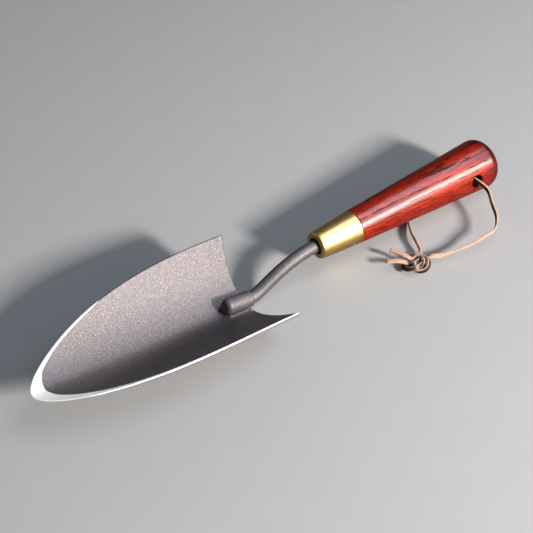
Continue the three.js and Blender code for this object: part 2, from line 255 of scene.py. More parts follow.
class Nodes:
    """A material with one Principled shader, and short calls for the nodes that drive it."""

    def __init__(self, name):
        self.material = bpy.data.materials.new(name)
        self.material.use_nodes = True
        self.tree = self.material.node_tree
        self.shader = self.tree.nodes["Principled BSDF"]

    def add(self, kind, **settings):
        node = self.tree.nodes.new(kind)
        for key, value in settings.items():
            setattr(node, key, value)
        return node

    def link(self, source, target):
        if hasattr(source, "is_output"):
            self.tree.links.new(source, target)
        else:
            target.default_value = source

    def set(self, **inputs):
        for key, value in inputs.items():
            self.link(value, self.shader.inputs[key.replace("_", " ")])

    def place(self, stretch=(1, 1, 1), turn=(0, 0, 0), shift=(0, 0, 0)):
        """Object coordinates in metres, moved, turned and stretched."""
        coordinates = self.add("ShaderNodeTexCoord")
        mapping = self.add("ShaderNodeMapping")
        self.link(coordinates.outputs["Object"], mapping.inputs["Vector"])
        mapping.inputs["Location"].default_value = shift
        mapping.inputs["Rotation"].default_value = turn
        mapping.inputs["Scale"].default_value = stretch
        return mapping.outputs["Vector"]

    def noise(self, vector, scale, detail=2.0, roughness=0.5):
        node = self.add("ShaderNodeTexNoise")
        self.link(vector, node.inputs["Vector"])
        node.inputs["Scale"].default_value = scale
        node.inputs["Detail"].default_value = detail
        node.inputs["Roughness"].default_value = roughness
        return node.outputs["Fac"]

    def cells(self, vector, scale):
        node = self.add("ShaderNodeTexVoronoi")
        self.link(vector, node.inputs["Vector"])
        node.inputs["Scale"].default_value = scale
        return node.outputs["Color"]

    def value(self, name):
        return self.add("ShaderNodeAttribute", attribute_name=name).outputs["Fac"]

    def math(self, operation, a, b=0.0, c=0.0):
        node = self.add("ShaderNodeMath", operation=operation)
        for source, target in zip((a, b, c), node.inputs):
            self.link(source, target)
        return node.outputs[0]

    def length(self, a, b):
        """The length of a vector whose two parts are a and b."""
        squares = self.math("ADD", self.math("POWER", a, 2.0), self.math("POWER", b, 2.0))
        return self.math("SQRT", squares)

    def vector_math(self, operation, a, b=(0, 0, 0)):
        node = self.add("ShaderNodeVectorMath", operation=operation)
        for source, target in zip((a, b), node.inputs):
            self.link(source, target)
        return node.outputs[0]

    def spread(self, factor, low, high, out_low=0.0, out_high=1.0):
        """factor mapped from low..high to out_low..out_high, clamped, with a soft start and end."""
        node = self.add("ShaderNodeMapRange", interpolation_type="SMOOTHSTEP")
        for source, target in zip((factor, low, high, out_low, out_high), node.inputs):
            self.link(source, target)
        return node.outputs[0]

    def ramp(self, factor, stops):
        node = self.add("ShaderNodeValToRGB")
        self.link(factor, node.inputs["Fac"])
        elements = node.color_ramp.elements
        while len(elements) < len(stops):
            elements.new(0.5)
        for element, (position, colour) in zip(elements, stops):
            element.position = position
            element.color = (*colour, 1)
        return node.outputs["Color"]

    def mix(self, factor, a, b):
        """A colour between a and b."""
        node = self.add("ShaderNodeMix", data_type="RGBA")
        self.link(factor, node.inputs[0])
        for source, target in zip((a, b), (node.inputs[6], node.inputs[7])):
            self.link((*source, 1) if isinstance(source, tuple) else source, target)
        return node.outputs[2]

    def blend(self, factor, a, b):
        """A plain number between a and b."""
        node = self.add("ShaderNodeMix", data_type="FLOAT")
        for source, target in zip((factor, a, b), node.inputs[:1] + node.inputs[2:4]):
            self.link(source, target)
        return node.outputs[0]

    def bump(self, height, distance, strength=1.0, normal=None):
        node = self.add("ShaderNodeBump")
        self.link(height, node.inputs["Height"])
        node.inputs["Distance"].default_value = distance
        node.inputs["Strength"].default_value = strength
        if normal is not None:
            self.link(normal, node.inputs["Normal"])
        return node.outputs["Normal"]

    def flake_normal(self, vector, scale, tilt):
        """The surface's normal, tipped a different way in each small cell, as metallic flakes lie."""
        tip = self.vector_math("SUBTRACT", self.cells(vector, scale), (0.5, 0.5, 0.5))
        scaled = self.vector_math("MULTIPLY", tip, (tilt, tilt, tilt))
        geometry = self.add("ShaderNodeNewGeometry")
        leaned = self.vector_math("ADD", geometry.outputs["Normal"], scaled)
        return self.vector_math("NORMALIZE", leaned)


def powder_coat(name, ground=False):
    """Brown-grey powder coat with golden and silver flakes; with ground, bare steel where it is ground."""
    m = Nodes(name)
    place = m.place()
    fine = m.cells(place, FLAKES_PER_METRE)
    pick = m.add("ShaderNodeSeparateColor")
    m.link(fine, pick.inputs[0])
    fleck, shade = pick.outputs[0], pick.outputs[1]
    colour = m.ramp(
        fleck,
        ((0.0, (0.052, 0.047, 0.052)), (0.35, (0.096, 0.086, 0.093)), (0.75, (0.142, 0.124, 0.128)),
         (0.92, (0.23, 0.18, 0.15)), (1.0, (0.46, 0.36, 0.27))),
    )
    soft = m.noise(place, 700, 3.0, 0.6)
    cloud = m.noise(place, 28, 3.0)
    colour = m.mix(m.spread(soft, 0.3, 0.75, 0.0, 0.7), colour, (0.125, 0.110, 0.115))
    colour = m.mix(m.spread(cloud, 0.35, 0.65, 0.0, 0.35), colour, (0.118, 0.108, 0.122))
    rough = m.spread(shade, 0.0, 1.0, 0.50, 0.62)
    normal = m.flake_normal(place, FLAKES_PER_METRE, 0.11)
    normal = m.bump(soft, 0.00003, 0.4, normal)
    metallic = 0.48
    if ground:
        edge = m.noise(place, 420, 3.0, 0.6)
        signed = m.math("MULTIPLY_ADD", m.math("SUBTRACT", edge, 0.5), 0.2, m.value("ground"))
        bare = m.spread(signed, -0.06, 0.06)
        scratch = m.noise(m.place(turn=(0, 0, 0.9)), 900)
        fine_scratch = m.noise(m.place((60, 900, 900), (0, 0, 0.6)), 1.0)
        steel = m.mix(fine_scratch, (0.84, 0.84, 0.85), (0.99, 0.99, 0.98))
        colour = m.mix(bare, colour, steel)
        metallic = m.blend(bare, metallic, 0.2)
        rough = m.blend(bare, rough, m.spread(scratch, 0.3, 0.7, 0.38, 0.52))
        step = m.math("MULTIPLY", bare, -1.0)
        normal = m.bump(step, 0.00006, 0.6, normal)
    m.set(Base_Color=colour, Metallic=metallic, Roughness=rough, Normal=normal)
    return m.material


def ferrule_brass(name):
    """Satin-polished brass with faint streaks along the ferrule and slight tarnish."""
    m = Nodes(name)
    place = m.place()
    streaks = m.noise(m.place((90, 2200, 2200)), 1.0, 3.0, 0.6)
    tarnish = m.noise(place, 160, 4.0, 0.6)
    specks = m.noise(place, 1400, 2.0, 0.6)
    colour = m.mix(m.spread(tarnish, 0.35, 0.75, 0.0, 0.7), (0.90, 0.62, 0.21), (0.66, 0.41, 0.12))
    colour = m.mix(m.spread(streaks, 0.4, 0.75, 0.0, 0.35), colour, (0.93, 0.72, 0.34))
    colour = m.mix(m.spread(specks, 0.66, 0.74, 0.0, 0.5), colour, (0.42, 0.27, 0.10))
    rough = m.math("ADD", m.spread(streaks, 0.3, 0.7, 0.32, 0.40), m.spread(tarnish, 0.4, 0.8, 0.0, 0.08))
    normal = m.bump(streaks, 0.00002, 0.5)
    m.set(Base_Color=colour, Metallic=1.0, Roughness=rough, Normal=normal)
    return m.material


def lacquered_wood(name):
    """Red-stained ring-porous hardwood under a clear gloss lacquer. The grain runs along X."""
    m = Nodes(name)
    parts = m.add("ShaderNodeSeparateXYZ")
    # Seen from the tree's heart, which lies below the handle and slopes down towards the ferrule.
    heart = m.place(turn=(0, math.radians(-2.3), math.radians(-0.6)), shift=(0, 0.004, 0.044))
    m.link(heart, parts.inputs[0])
    wander = m.noise(m.place((9, 45, 45)), 1.0, 2.0)
    from_heart = m.length(parts.outputs[1], parts.outputs[2])
    radius = m.math("MULTIPLY_ADD", wander, 0.0015, from_heart)
    ring = m.math("FRACT", m.math("MULTIPLY", radius, RINGS_PER_METRE))
    early = m.math("MULTIPLY", m.spread(ring, 0.0, 0.05), m.math("SUBTRACT", 1.0, m.spread(ring, 0.18, 0.30)))
    late = m.spread(ring, 0.5, 0.98)
    fibre = m.noise(m.place((45, 2300, 2300)), 1.0, 3.0, 0.6)
    blotch = m.noise(m.place((16, 120, 120)), 1.0, 3.0)
    colour = m.mix(m.spread(fibre, 0.32, 0.68), (0.14, 0.006, 0.002), (0.64, 0.058, 0.004))
    colour = m.mix(m.math("MULTIPLY", late, 0.45), colour, (0.10, 0.004, 0.002))
    colour = m.mix(m.spread(blotch, 0.45, 0.72, 0.0, 0.6), colour, (0.80, 0.10, 0.006))
    dashes = m.noise(m.place((75, 1100, 1100)), 1.0, 2.0, 0.5)
    specks = m.noise(m.place((260, 3000, 3000), shift=(3, 5, 7)), 1.0, 2.0, 0.5)
    rows = m.math("MULTIPLY", m.spread(dashes, 0.44, 0.52), early)
    strays = m.math("MULTIPLY", m.spread(specks, 0.62, 0.66), 0.6)
    dark = m.math("MAXIMUM", rows, strays)
    colour = m.mix(m.math("MULTIPLY", dark, 0.92), colour, (0.012, 0.004, 0.004))
    # The butt's end grain drinks more stain.
    position = m.add("ShaderNodeSeparateXYZ")
    m.link(m.place(), position.inputs[0])
    end_grain = m.spread(position.outputs[0], 0.003, 0.017, 0.92, 0.0)
    colour = m.mix(end_grain, colour, (0.045, 0.003, 0.002))
    # Painted shade: the wall of the cross hole and its flared rim are painted near-black, as shade inside the
    # hole. The wall is also bare of lacquer.
    bore = m.add("ShaderNodeSeparateXYZ")
    m.link(m.place(turn=(-HOLE_TILT, 0, 0), shift=(-HOLE_X * MM, 0, 0)), bore.inputs[0])
    from_bore = m.length(bore.outputs[0], bore.outputs[2])
    bare_hole_wall_and_shade = m.spread(from_bore, HOLE_RADIUS * MM, (HOLE_RADIUS + 1.1) * MM, 0.95, 0.0)
    # Painted shade inside the cross hole, not the wood's own colour.
    colour = m.mix(bare_hole_wall_and_shade, colour, (0.020, 0.005, 0.004))
    wood_normal = m.bump(m.math("MULTIPLY", dark, -1.0), 0.00012, 0.6)
    ripple = m.noise(m.place((30, 420, 420)), 1.0, 2.0)
    lacquer = m.math("MULTIPLY_ADD", dark, -0.5, ripple)
    coat_normal = m.bump(lacquer, 0.00005, 0.45)
    m.set(Base_Color=colour, Roughness=m.blend(dark, 0.45, 0.6), Normal=wood_normal, Specular_IOR_Level=0.05)
    # The lacquer sinks into the pores and breaks the reflection there.
    lacquered = m.math("SUBTRACT", 1.0, bare_hole_wall_and_shade)
    coat_weight = m.math("MULTIPLY", lacquered, m.math("MULTIPLY_ADD", dark, -0.6, 1.0))
    m.set(Coat_Weight=coat_weight, Coat_Roughness=0.29, Coat_IOR=1.5, Coat_Normal=coat_normal)
    m.set(Coat_Tint=(0.80, 0.45, 0.40, 1))
    return m.material


def tang_resin(name):
    """Dark gritty resin, matte with a few smoother spots."""
    m = Nodes(name)
    grit = m.noise(m.place(), 900, 4.0, 0.7)
    colour = m.mix(grit, (0.012, 0.010, 0.009), (0.05, 0.04, 0.034))
    m.set(Base_Color=colour, Roughness=m.spread(grit, 0.2, 0.8, 0.45, 0.85), Normal=m.bump(grit, 0.0003))
    return m.material


def leather(name, dark):
    """dark is the dyed grain side; otherwise the pale flesh side and cut edges."""
    m = Nodes(name)
    along = m.value("run")
    across = m.value("round")
    join = m.add("ShaderNodeCombineXYZ")
    m.link(m.math("MULTIPLY", along, 0.35), join.inputs[0])
    m.link(across, join.inputs[1])
    fibre = m.noise(join.outputs[0], 2.2, 4.0, 0.65)
    patch = m.noise(m.place(), 320, 3.0, 0.6)
    if dark:
        creases = m.noise(m.place(), 1500, 3.0, 0.6)
        colour = m.mix(m.spread(patch, 0.3, 0.7), (0.018, 0.010, 0.009), (0.045, 0.024, 0.019))
        colour = m.mix(m.spread(creases, 0.62, 0.75, 0.0, 0.6), colour, (0.16, 0.10, 0.09))
        normal = m.bump(creases, 0.00012, 0.7)
        m.set(Base_Color=colour, Roughness=m.spread(creases, 0.3, 0.7, 0.36, 0.55), Normal=normal)
    else:
        colour = m.mix(m.spread(fibre, 0.25, 0.75), (0.48, 0.27, 0.17), (0.70, 0.47, 0.33))
        colour = m.mix(m.spread(patch, 0.45, 0.75, 0.0, 0.5), colour, (0.30, 0.14, 0.085))
        normal = m.bump(fibre, 0.00025, 0.8)
        m.set(Base_Color=colour, Roughness=0.82, Normal=normal)
        m.set(Sheen_Weight=0.25, Sheen_Roughness=0.6)
    return m.material


# ---- Blade sheet, in the blade's own frame, which leans and turns ----


def parabola(heights, t):
    """The parabola through three heights at t = 0, 1/2 and 1."""
    start, middle, end = heights
    return start * (1 - t) * (1 - 2 * t) + 4 * middle * t * (1 - t) + end * t * (2 * t - 1)


def half_width(t):
    flank = BLADE_WIDTH / 2 * (1 - (1 - t) ** OUTLINE_FULLNESS) ** FLANK_CURVE
    behind = (TIP_X - EARS_X) * t
    return np.sqrt(flank**2 + NOSE_WIDTH * behind * np.exp(-behind / NOSE_LENGTH))


def dish_rise(across):
    soft = DISH_SOFTNESS**2
    low, high = soft ** (DISH_POWER / 2), (1 + soft) ** (DISH_POWER / 2)
    return ((across**2 + soft) ** (DISH_POWER / 2) - low) / (high - low)


def sheet_height(x, y):
    """Height of the sheet's middle surface above the handle's axis."""
    t = np.clip((TIP_X - x) / (TIP_X - EARS_X), 1e-6, 1)
    rise = dish_rise(y / half_width(t))
    return parabola(KEEL_HEIGHTS, t) * (1 - rise) + parabola(RIM_HEIGHTS, t) * rise


def heel_x(across):
    return EARS_X + (HEEL_X - EARS_X) * (1 - np.abs(across) ** HEEL_CURVE)


def blade_to_row(points):
    turn = Matrix.Rotation(BLADE_YAW, 3, "Z") @ Matrix.Rotation(BLADE_ROLL, 3, "X")
    shift = (0, BLADE_SHIFT - EARS_X * math.sin(BLADE_YAW), 0)
    return array(points) @ array(turn).T + array(shift)


def outline_distance(x, y):
    """Distance in plan from the blade's curved outline."""
    t = np.linspace(0, 1, 700) ** 2
    rim_x = TIP_X - (TIP_X - EARS_X) * t
    rim_y = half_width(t)
    best = np.full(x.shape, np.inf)
    for side in (-1, 1):
        starts = np.stack([rim_x[:-1], side * rim_y[:-1]], axis=1)
        steps = np.stack([rim_x[1:], side * rim_y[1:]], axis=1) - starts
        lengths = (steps**2).sum(axis=1)
        for start, step, length in zip(starts, steps, lengths):
            share = np.clip(((x - start[0]) * step[0] + (y - start[1]) * step[1]) / length, 0, 1)
            gap = np.hypot(x - start[0] - share * step[0], y - start[1] - share * step[1])
            best = np.minimum(best, gap)
    return best


def edge_round(distance, radius):
    """How far a rounded edge falls below the flat, at a distance in from the edge."""
    inside = np.clip(radius - distance, 0, radius)
    return radius - np.sqrt(radius**2 - inside**2)


def blade_grid(length):
    """Shares of the length from tip to heel, and each row's places across as shares of half a width."""
    rows, columns = 150, 92
    # Distances of the outermost rows and columns from the edge, close together to round it.
    near_edge = array((0, 0.05, 0.14, 0.3, 0.55, 0.9))
    tip_share, heel_share, crowding = 0.0002, 0.9928, 1.7
    plain = tip_share + (heel_share - tip_share) * np.linspace(0, 1, rows) ** crowding
    reach = np.concatenate([plain, 1 - near_edge[::-1] / length])
    even = np.linspace(-1, 1, columns)
    grid_across = []
    for share in reach:
        half = half_width(share)
        steps = near_edge * min(1.0, half / 7)
        inner = (half - steps[-1] * 1.6) / half * even
        rim = 1 - steps / half
        grid_across.append(np.concatenate([-rim, inner, rim[::-1]]))
    return reach[:, None], array(grid_across)


def build_blade(material):
    length = TIP_X - EARS_X
    reach, across = blade_grid(length)
    along = reach * (TIP_X - heel_x(across)) / length
    x = TIP_X - length * along
    y = across * half_width(along)
    z = sheet_height(x, y)
    small = 0.02
    slope_x = (sheet_height(x + small, y) - sheet_height(x - small, y)) / (2 * small)
    inward = y * (1 - 1e-4)
    slope_y = (sheet_height(x, inward + small) - sheet_height(x, inward - small)) / (2 * small)
    normal = unit(np.stack([-slope_x, -slope_y, np.ones_like(x)], axis=-1))
    middle = np.stack([x, y, z], axis=-1)

    rim_gap = outline_distance(x, y)
    heel_gap = (1 - reach) * length * np.ones_like(x)
    far = np.interp(along, *zip(*FAR_GROUND))
    near = np.interp(along, *zip(*NEAR_GROUND))
    side = np.clip(y / 6 + 0.5, 0, 1)
    band = far * (1 - side) + near * side
    inside_band = -smooth_least(rim_gap - band, length * along - GROUND_NOSE, GROUND_NOSE_ROUND)
    slope = np.clip(inside_band / np.maximum(inside_band + rim_gap, 0.9), 0, 1)
    depth = GRIND_DEPTH * np.clip(band / FULL_GRIND_WIDTH, 0, 1)
    falls = edge_round(rim_gap, EDGE_ROUND) + edge_round(heel_gap, HEEL_ROUND)
    upper = SHEET / 2 - UPPER_GRIND * depth * slope - falls
    lower = -SHEET / 2 + LOWER_GRIND * depth * slope + falls
    points = np.concatenate([
        (middle + normal * upper[..., None]).reshape(-1, 3),
        (middle + normal * lower[..., None]).reshape(-1, 3),
    ])
    near_under = np.interp(along, *zip(*NEAR_UNDER))
    under_band = np.minimum(far, 0.5) * 0.8 * (1 - side) + near_under * side
    ground = np.concatenate([inside_band.ravel(), (under_band - rim_gap).ravel()])

    height, width = x.shape
    half_count = height * width
    faces = []
    for i in range(height - 1):
        for j in range(width - 1):
            a = i * width + j
            b = half_count + a
            faces.append((a, a + 1, a + width + 1, a + width))
            faces.append((b, b + width, b + width + 1, b + 1))
        left = i * width
        right = left + width - 1
        faces.append((left + width, half_count + left + width, half_count + left, left))
        faces.append((right, half_count + right, half_count + right + width, right + width))
    for j in range(width - 1):
        heel = (height - 1) * width + j
        faces.append((j + 1, j, half_count + j, half_count + j + 1))
        faces.append((heel, heel + 1, half_count + heel + 1, half_count + heel))
    return make_piece("blade_sheet", blade_to_row(points), faces, [material], values={"ground": ground})


# ---- Welded boss: boss, weld and fillets as one smooth body over the sheet ----


def surface_nets(values, low, step):
    """A quad skin round the negative part of a grid of signed distances."""
    inside = values < 0
    cells = tuple(n - 1 for n in values.shape)
    total = np.zeros(cells + (3,))
    count = np.zeros(cells)
    corner = np.stack(np.meshgrid(*[np.arange(n) for n in cells], indexing="ij"), axis=-1).astype(float)

    def block(offset):
        return tuple(slice(o, o + n) for o, n in zip(offset, cells))

    for axis in range(3):
        for first in (0, 1):
            for second in (0, 1):
                start = [first, second]
                start.insert(axis, 0)
                end = list(start)
                end[axis] = 1
                a, b = values[block(start)], values[block(end)]
                crossed = (a < 0) != (b < 0)
                share = np.where(crossed, a / np.where(crossed, a - b, 1), 0)
                spot = corner + array(start)
                spot[..., axis] += share
                total += np.where(crossed[..., None], spot, 0)
                count += crossed
    used = count > 0
    index = np.full(cells, -1)
    index[used] = np.arange(used.sum())
    points = array(low) + step * total[used] / count[used][:, None]
    faces = []
    for axis in range(3):
        u, v = (axis + 1) % 3, (axis + 2) % 3
        lead = [slice(None)] * 3
        tail = [slice(None)] * 3
        lead[axis], tail[axis] = slice(0, -1), slice(1, None)
        a, b = inside[tuple(lead)], inside[tuple(tail)]
        for spot in np.argwhere(a != b):
            if spot[u] == 0 or spot[v] == 0:
                continue
            quad = []
            for du, dv in ((1, 1), (0, 1), (0, 0), (1, 0)):
                cell = spot.copy()
                cell[u] -= du
                cell[v] -= dv
                quad.append(int(index[tuple(cell)]))
            faces.append(tuple(quad if a[tuple(spot)] else reversed(quad)))
    return points, faces


def smooth_least(a, b, width):
    """The smaller of a and b, blended where they differ by less than width."""
    share = np.clip(width - np.abs(a - b), 0, None) / width
    return np.minimum(a, b) - share**2 * width / 4


def round_bar(along, radial, length, radius, corner):
    """Signed distance to a bar from 0 to length with rounded end corners."""
    over = np.abs(along - length / 2) - (length / 2 - corner)
    out = radial - (radius - corner)
    outside = np.hypot(np.maximum(over, 0), np.maximum(out, 0))
    return outside + np.minimum(np.maximum(over, out), 0) - corner


def build_boss(material):
    axes = [np.arange(a, b, BOSS_GRID) for a, b in zip(BOSS_LOW, BOSS_HIGH)]
    x, y, z = np.meshgrid(*axes, indexing="ij")
    rear = array((SOCKET_REAR[0], 0, SOCKET_REAR[1]))
    axis = array((SOCKET_FRONT[0], 0, SOCKET_FRONT[1])) - rear
    length = np.linalg.norm(axis)
    axis /= length
    away = np.stack([x, y, z], axis=-1) - rear
    along = away @ axis
    radial = np.linalg.norm(away - along[..., None] * axis, axis=-1)
    boss = np.where(
        along > length / 2,
        round_bar(along, radial, length, SOCKET_RADIUS, SOCKET_FRONT_ROUND),
        round_bar(along, radial, length, SOCKET_RADIUS, SOCKET_REAR_ROUND),
    )
    wave = array([noise.noise(Vector(p) * 0.45) for p in np.stack([x, y, z], axis=-1).reshape(-1, 3)])
    wave = wave.reshape(x.shape)
    height = sheet_height(x, y)
    slope_y = (sheet_height(x, y + 0.1) - height) / 0.1
    slope_x = (sheet_height(x + 0.1, y) - height) / 0.1
    above = (z - height) / np.sqrt(1 + slope_x**2 + slope_y**2) - SHEET / 2
    across = y / half_width((TIP_X - x) / (TIP_X - EARS_X))
    behind_heel = heel_x(across) + 0.3 - x
    sheet = np.maximum(above, behind_heel)
    fillet = FILLET + 0.8 * wave
    body = smooth_least(boss, sheet, fillet) + 0.02
    for centre, radius in WELD_BEADS:
        bead = np.linalg.norm(np.stack([x, y, z], axis=-1) - array(centre), axis=-1) - radius
        body = smooth_least(body, bead, 0.8)
    # The weld ends just inside the sheet and near the boss. Behind the heel, only the boss stays.
    body = np.maximum(body, -(above + 0.35))
    body = np.maximum(body, boss - 0.96 * fillet)
    body = np.maximum(body, np.where(x < heel_x(across), boss, -9))
    bore = round_bar(along + 2, radial, SOCKET_DEPTH + 2, ROD_RADIUS + 0.15, 0.05)
    body = np.maximum(body, -bore)
    points, faces = surface_nets(body, BOSS_LOW, BOSS_GRID)
    return make_piece("welded_boss", blade_to_row(points), faces, [material])


# ---- Neck rod with its tang ----


def build_neck(material):
    rear = array((SOCKET_REAR[0], 0, SOCKET_REAR[1]))
    axis = unit(array((SOCKET_FRONT[0], 0, SOCKET_FRONT[1])) - rear)
    # The rod stops just short of the bore's bottom.
    rear_row, inner_row = blade_to_row([rear, rear + axis * (SOCKET_DEPTH - 0.3)])
    direction = unit(inner_row - rear_row)
    bend = array((FERRULE_FRONT, 0, 0))
    controls = [bend, bend + (FRONT_BEND, 0, 0), rear_row - direction * REAR_BEND, rear_row]
    t = np.linspace(0, 1, 90)[:, None]
    curve = sum(math.comb(3, k) * (1 - t) ** (3 - k) * t**k * controls[k] for k in range(4))
    taper = np.linspace(TANG_START, TANG_TAPER_END, 20)
    shank = np.linspace(TANG_TAPER_END + TAPER_END_GAP, FERRULE_FRONT - BEND_START_GAP, 20)
    straight_x = np.concatenate([taper, shank])
    tang = straight_x[:, None] * array((1, 0, 0))
    inside = rear_row + (inner_row - rear_row) * np.linspace(0.05, 1, 12)[:, None]
    path = np.concatenate([tang, curve, inside])
    radii = np.interp(path[:, 0], (TANG_START, TANG_TAPER_END), (TANG_TIP_RADIUS, ROD_RADIUS))
    forward = tangents(path)
    side = unit(np.cross((0, 0, 1), forward))
    up = np.cross(forward, side)
    sides = 48
    angles = np.linspace(0, 2 * math.pi, sides, endpoint=False)
    points = [
        centre + radius * (math.cos(a) * s + math.sin(a) * u)
        for centre, radius, s, u in zip(path, radii, side, up)
        for a in angles
    ]
    faces = ring_faces(len(path), sides)
    faces.append(tuple(reversed(range(sides))))
    faces.append(tuple(range((len(path) - 1) * sides, len(path) * sides)))
    return make_piece("neck_rod", points, faces, [material])


# ---- Ferrule, its pin, the handle and the resin ----


def ferrule_radius(x):
    return SEAM_RADIUS + (MOUTH_RADIUS - SEAM_RADIUS) * (x - HANDLE_LENGTH) / FERRULE_LENGTH


def build_ferrule(material):
    rear = HANDLE_LENGTH + WOOD_CLEARANCE
    lip_start = FERRULE_FRONT - LIP_ROUND
    cone_end = lip_start - 0.6
    rear_corner = (rear, SEAM_RADIUS - FERRULE_EDGE)
    outer = straight((rear + FERRULE_EDGE, SEAM_RADIUS), (cone_end, ferrule_radius(cone_end)), 40)
    lip = [
        (FERRULE_FRONT - x, radius)
        for x, radius in quarter((0, MOUTH_RADIUS - LIP_ROUND), (LIP_ROUND, MOUTH_RADIUS), 10)
    ][::-1]
    turn_in = [(FERRULE_FRONT - 0.02, LIP_RADIUS + 0.35), (FERRULE_FRONT - 0.2, LIP_RADIUS + 0.08)]
    inner = [
        (FERRULE_FRONT - FERRULE_WALL, LIP_RADIUS),
        (FERRULE_FRONT - FERRULE_WALL - 0.1, LIP_RADIUS + 0.2),
        (lip_start - 0.2, MOUTH_RADIUS - FERRULE_WALL),
        (rear, SEAM_RADIUS - FERRULE_WALL),
    ]
    profile = [rear_corner] + outer + lip + turn_in + inner + [rear_corner]
    points, faces = lathe(profile, 144)
    return make_piece("ferrule_brass", points, faces, [material])


def build_pin(material):
    """A small domed punched head that stands just proud of the ferrule."""
    profile = [(-4.4, PIN_SHANK_RADIUS), (-0.3, PIN_SHANK_RADIUS)] + [
        (0.42 * math.sin(a) - 0.12, PIN_RADIUS * math.cos(a)) for a in np.linspace(0, 1.45, 9)
    ]
    points, faces = lathe(profile, 32)
    out = array((0, math.cos(PIN_ANGLE), math.sin(PIN_ANGLE)))
    side = array((1, 0, 0))
    other = np.cross(out, side)
    centre = array((PIN_X, 0, 0)) + out * ferrule_radius(PIN_X)
    placed = [centre + out * x + side * y + other * z for x, y, z in points]
    return make_piece("ferrule_pin_head", placed, faces, [material])


def handle_profile():
    """From the butt along the outside, round the tenon and back down the tang's blind bore."""
    tenon_rear = SEAM_RADIUS - FERRULE_WALL - WOOD_CLEARANCE
    tenon_front = HANDLE_LENGTH + TENON_LENGTH
    tenon_tip = ferrule_radius(tenon_front) - FERRULE_WALL - WOOD_CLEARANCE
    bore_bottom = TANG_START - 1
    flat = straight((0, BUTT_FLAT_INSET), (0, BUTT_FLAT_RADIUS - BUTT_FLAT_INSET), 5)
    dome = quarter((0.02, BUTT_FLAT_RADIUS), (DOME_LENGTH, BUTT_RADIUS), 26)
    side = straight((DOME_LENGTH, BUTT_RADIUS), (HANDLE_LENGTH - SEAM_ROUND, SEAM_RADIUS), 110)[1:]
    seam_inner = (HANDLE_LENGTH, SEAM_RADIUS - SEAM_ROUND)
    seam = quarter(seam_inner, (HANDLE_LENGTH - SEAM_ROUND, SEAM_RADIUS), 5)[-2::-1]
    return flat + dome + side + seam + [
        (HANDLE_LENGTH, tenon_rear),
        (tenon_front, tenon_tip),
        (tenon_front, TANG_BORE_RADIUS),
        (bore_bottom, TANG_BORE_RADIUS),
        (bore_bottom, 0.4),
    ]


def hole_profile():
    """The cross hole, mirrored about its middle, with flared mouths that end far outside the wood."""
    mouth = 13.6
    half = [(x, HOLE_RADIUS) for x in np.linspace(0.5, mouth, 14)]
    half += [
        (mouth + HOLE_FLARE * 1.4 * math.sin(a), HOLE_RADIUS + HOLE_FLARE * (1 - math.cos(a)))
        for a in np.linspace(0.15, 1.25, 9)
    ]
    half.append((24, HOLE_RADIUS + 9))
    return [(-x, radius) for x, radius in half[::-1]] + half


def build_handle(material):
    points, faces = lathe(handle_profile(), 160)
    handle = make_piece("handle_wood", points, faces, [material])
    points, faces = lathe(hole_profile(), 64)
    tilt = Matrix.Rotation(HOLE_TILT, 3, "X")
    turned = array(points)[:, [1, 0, 2]] * (1, 1, -1)
    placed = turned @ array(tilt).T + (HOLE_X, 0, 0)
    cutter = make_piece("hole_cutter", placed, faces, [material])
    cut = handle.modifiers.new("hole", "BOOLEAN")
    cut.object = cutter
    cut.operation = "DIFFERENCE"
    cut.solver = "EXACT"
    apply_modifiers(handle)
    bpy.data.objects.remove(cutter)
    return handle


def apply_modifiers(piece):
    graph = bpy.context.evaluated_depsgraph_get()
    mesh = bpy.data.meshes.new_from_object(piece.evaluated_get(graph))
    piece.modifiers.clear()
    piece.data = mesh


def build_resin(material):
    front = FERRULE_FRONT - 1.6
    rear = TANG_TAPER_END + TAPER_END_GAP
    inner = ROD_RADIUS + 0.05
    outer = TANG_BORE_RADIUS - 0.05
    dished = [
        (front - 0.5 * math.sin(math.pi * s), outer + (inner - outer) * s) for s in np.linspace(0, 1, 9)
    ]
    points, faces = lathe([(rear, inner), (rear, outer)] + dished + [(rear, inner)], 64)
    return make_piece("tang_resin", points, faces, [material])


# ---- Leather lace: one flat strip from tail to tail, knotted on itself ----

# Doubled middle line of the overhand knot, from the legs to the tails.
KNOT_PATH = (
    (84.3, 35.0, -14.0),
    (87.5, 37.1, -12.8),
    (91.2, 38.9, -10.9),
    (94.6, 38.9, -11.0),
    (96.8, 36.6, -12.6),
    (96.2, 33.5, -14.0),
    (93.1, 31.4, -14.2),
    (89.5, 30.6, -12.9),
    (86.2, 32.3, -11.1),
    (84.8, 35.8, -10.6),
    (85.4, 39.4, -10.8),
    (87.7, 41.6, -12.6),
    (90.4, 41.0, -14.1),
    (92.0, 38.5, -14.4),
    (92.5, 36.0, -12.9),
    (93.5, 33.3, -11.2),
)
NEAR_LEG = (
    (80.4, 36.8, -12.6), (75.6, 39.9, -12.2), (66.4, 43.2, -11.1), (57, 45.9, -9.5), (46.2, 47.2, -7.5),
    (38.5, 47.2, -6.5), (30.2, 40.9, -5.5), (23.8, 30.2, -3.8), (20.4, 22.8, -0.6), (22, 16.8, 2.3),
)
FAR_LEG = (
    (22, 0, 0), (22, -16.8, -2.3), (25.4, -21, -5.6), (33.5, -21.2, -10), (45, -15.4, -13.8),
    (57, -5.8, -14.8), (66, 2.6, -14.7), (74.3, 14.6, -13.2), (78, 22.8, -12.6), (80.8, 29.2, -13.2),
)
NEAR_TAIL = ((99.6, 30.0, -10.6), (104.9, 26.3, -11.0))
FAR_TAIL = ((94.2, 27.4, -9.9), (97.4, 20.8, -10.2))
# How far the two strands lie from that middle line, sideways and in height.
STRAND_GAP = 1.25
STRAND_STEP = 0.55
# Lean of the grain side from sideways towards up, at shares of the way through the knot.
KNOT_LEAN = ((0, 5), (0.2, 40), (0.35, 45), (0.55, 50), (0.7, 40), (0.82, 5), (0.93, -80), (1, -90))


